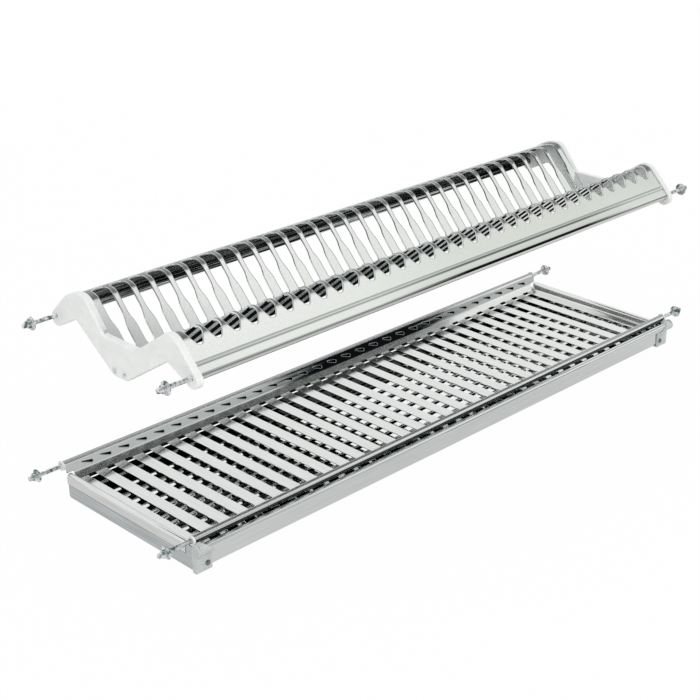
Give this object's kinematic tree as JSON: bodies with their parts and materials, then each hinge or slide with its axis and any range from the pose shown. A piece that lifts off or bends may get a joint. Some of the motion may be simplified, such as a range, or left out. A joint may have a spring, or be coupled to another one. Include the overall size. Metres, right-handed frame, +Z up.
{
  "type": "two-tier dish drainer",
  "caption": "Two-tier cabinet dish drainer: a pressed plate rack over a slotted glass rack with a sliding drip tray, hung on adjusting bolts.",
  "frame": {"origin": "below the middle of the drainer, at the height of its lowest point", "axes": "X along the racks between the cabinet sides, Y from the open front to the back wall, Z up"},
  "size_m": [0.892, 0.2495, 0.2465],
  "materials": {
    "stainless_sheet": "bright rolled stainless steel sheet",
    "white_plastic": "pale moulded plastic, slightly translucent",
    "zinc_steel": "zinc plated steel, bluish",
    "brass_bush": "turned brass"
  },
  "bodies": {
    "racks": {"glass_rack_deck": "stainless_sheet", "glass_rack_inserts": "brass_bush", "plate_rack_cap_left": "white_plastic", "plate_rack_cap_right": "white_plastic", "plate_rack_inserts": "brass_bush", "plate_rack_screws_left": "zinc_steel", "plate_rack_screws_right": "zinc_steel", "plate_rack_sheet": "stainless_sheet", "rail_plug_back_left": "white_plastic", "rail_plug_back_right": "white_plastic", "rail_plug_front_left": "white_plastic", "rail_plug_front_right": "white_plastic", "tray_runner_left": "stainless_sheet", "tray_runner_right": "stainless_sheet"},
    "tray": {"drip_tray": "stainless_sheet", "tray_bead_cap_left": "white_plastic", "tray_bead_cap_right": "white_plastic", "tray_bracket_left": "white_plastic", "tray_bracket_right": "white_plastic", "tray_bracket_screw_left": "zinc_steel", "tray_bracket_screw_right": "zinc_steel"},
    "plate_rack_bolt_front_left_body": {"plate_rack_bolt_front_left": "zinc_steel"},
    "plate_rack_bolt_front_right_body": {"plate_rack_bolt_front_right": "zinc_steel"},
    "plate_rack_bolt_back_left_body": {"plate_rack_bolt_back_left": "zinc_steel"},
    "plate_rack_bolt_back_right_body": {"plate_rack_bolt_back_right": "zinc_steel"},
    "glass_rack_bolt_front_left_body": {"glass_rack_bolt_front_left": "zinc_steel"},
    "glass_rack_bolt_front_right_body": {"glass_rack_bolt_front_right": "zinc_steel"},
    "glass_rack_bolt_back_left_body": {"glass_rack_bolt_back_left": "zinc_steel"},
    "glass_rack_bolt_back_right_body": {"glass_rack_bolt_back_right": "zinc_steel"}
  },
  "joints": [
    {"name": "plate_rack_adjust_front_left", "type": "slide", "parent": "racks", "child": "plate_rack_bolt_front_left_body", "axis": [-1, 0, 0], "range_m": [-0.027, 0.007]},
    {"name": "plate_rack_adjust_front_right", "type": "slide", "parent": "racks", "child": "plate_rack_bolt_front_right_body", "axis": [1, 0, 0], "range_m": [-0.027, 0.007]},
    {"name": "plate_rack_adjust_back_left", "type": "slide", "parent": "racks", "child": "plate_rack_bolt_back_left_body", "axis": [-1, 0, 0], "range_m": [-0.027, 0.007]},
    {"name": "plate_rack_adjust_back_right", "type": "slide", "parent": "racks", "child": "plate_rack_bolt_back_right_body", "axis": [1, 0, 0], "range_m": [-0.027, 0.007]},
    {"name": "glass_rack_adjust_front_left", "type": "slide", "parent": "racks", "child": "glass_rack_bolt_front_left_body", "axis": [-1, 0, 0], "range_m": [-0.027, 0.007]},
    {"name": "glass_rack_adjust_front_right", "type": "slide", "parent": "racks", "child": "glass_rack_bolt_front_right_body", "axis": [1, 0, 0], "range_m": [-0.027, 0.007]},
    {"name": "glass_rack_adjust_back_left", "type": "slide", "parent": "racks", "child": "glass_rack_bolt_back_left_body", "axis": [-1, 0, 0], "range_m": [-0.027, 0.007]},
    {"name": "glass_rack_adjust_back_right", "type": "slide", "parent": "racks", "child": "glass_rack_bolt_back_right_body", "axis": [1, 0, 0], "range_m": [-0.027, 0.007]},
    {"name": "tray_slide", "type": "slide", "parent": "racks", "child": "tray", "axis": [0, -1, 0], "range_m": [0, 0.15]}
  ]
}
